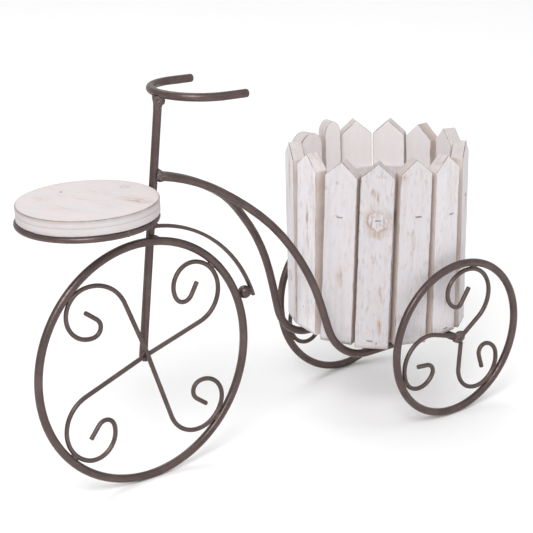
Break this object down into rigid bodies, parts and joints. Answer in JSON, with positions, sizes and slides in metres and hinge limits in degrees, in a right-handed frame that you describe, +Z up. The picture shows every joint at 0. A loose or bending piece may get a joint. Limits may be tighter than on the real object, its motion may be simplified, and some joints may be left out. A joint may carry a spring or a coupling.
{
  "type": "bicycle planter",
  "caption": "Rod-steel tricycle planter with scroll wheels, a horseshoe handlebar, a round wooden seat and a lift-off basket of gable-topped wooden pickets.",
  "frame": {"origin": "on the ground under the middle of the whole planter's box", "axes": "+X from the front wheel to the rear wheels, +Y to the rider's right, +Z up"},
  "size_m": [0.5182, 0.2036, 0.3714],
  "materials": {
    "bronzed_steel": "dark bronze lacquer, satin, over welded rod",
    "limewashed_wood": "pale limewash with grey grain, matte",
    "zinc_steel": "bright zinc plating"
  },
  "bodies": {
    "frame": {"basket_cross_rod": "bronzed_steel", "disc_ring": "bronzed_steel", "disc_screw_front": "zinc_steel", "disc_screw_rear": "zinc_steel", "disc_strap": "bronzed_steel", "fender_ball": "bronzed_steel", "fender_strip": "bronzed_steel", "frame_tube_left": "bronzed_steel", "frame_tube_right": "bronzed_steel", "front_post": "bronzed_steel", "front_scroll_rod_a": "bronzed_steel", "front_scroll_rod_b": "bronzed_steel", "front_wheel_rim": "bronzed_steel", "handlebar": "bronzed_steel", "rear_axle": "bronzed_steel", "rear_hub_weld_left": "bronzed_steel", "rear_hub_weld_right": "bronzed_steel", "rear_scroll_left_1": "bronzed_steel", "rear_scroll_left_2": "bronzed_steel", "rear_scroll_left_3": "bronzed_steel", "rear_scroll_right_1": "bronzed_steel", "rear_scroll_right_2": "bronzed_steel", "rear_scroll_right_3": "bronzed_steel", "rear_wheel_rim_left": "bronzed_steel", "rear_wheel_rim_right": "bronzed_steel", "wood_disc": "limewashed_wood"},
    "basket": {"basket_base": "limewashed_wood", "basket_hoop": "limewashed_wood", "picket_01": "limewashed_wood", "picket_02": "limewashed_wood", "picket_03": "limewashed_wood", "picket_04": "limewashed_wood", "picket_05": "limewashed_wood", "picket_06": "limewashed_wood", "picket_07": "limewashed_wood", "picket_08": "limewashed_wood", "picket_09": "limewashed_wood", "picket_10": "limewashed_wood", "picket_11": "limewashed_wood", "picket_12": "limewashed_wood", "picket_13": "limewashed_wood"}
  },
  "joints": [
    {"name": "basket_lift", "type": "slide", "parent": "frame", "child": "basket", "axis": [0, 0, 1], "range_m": [0, 0.25]}
  ]
}
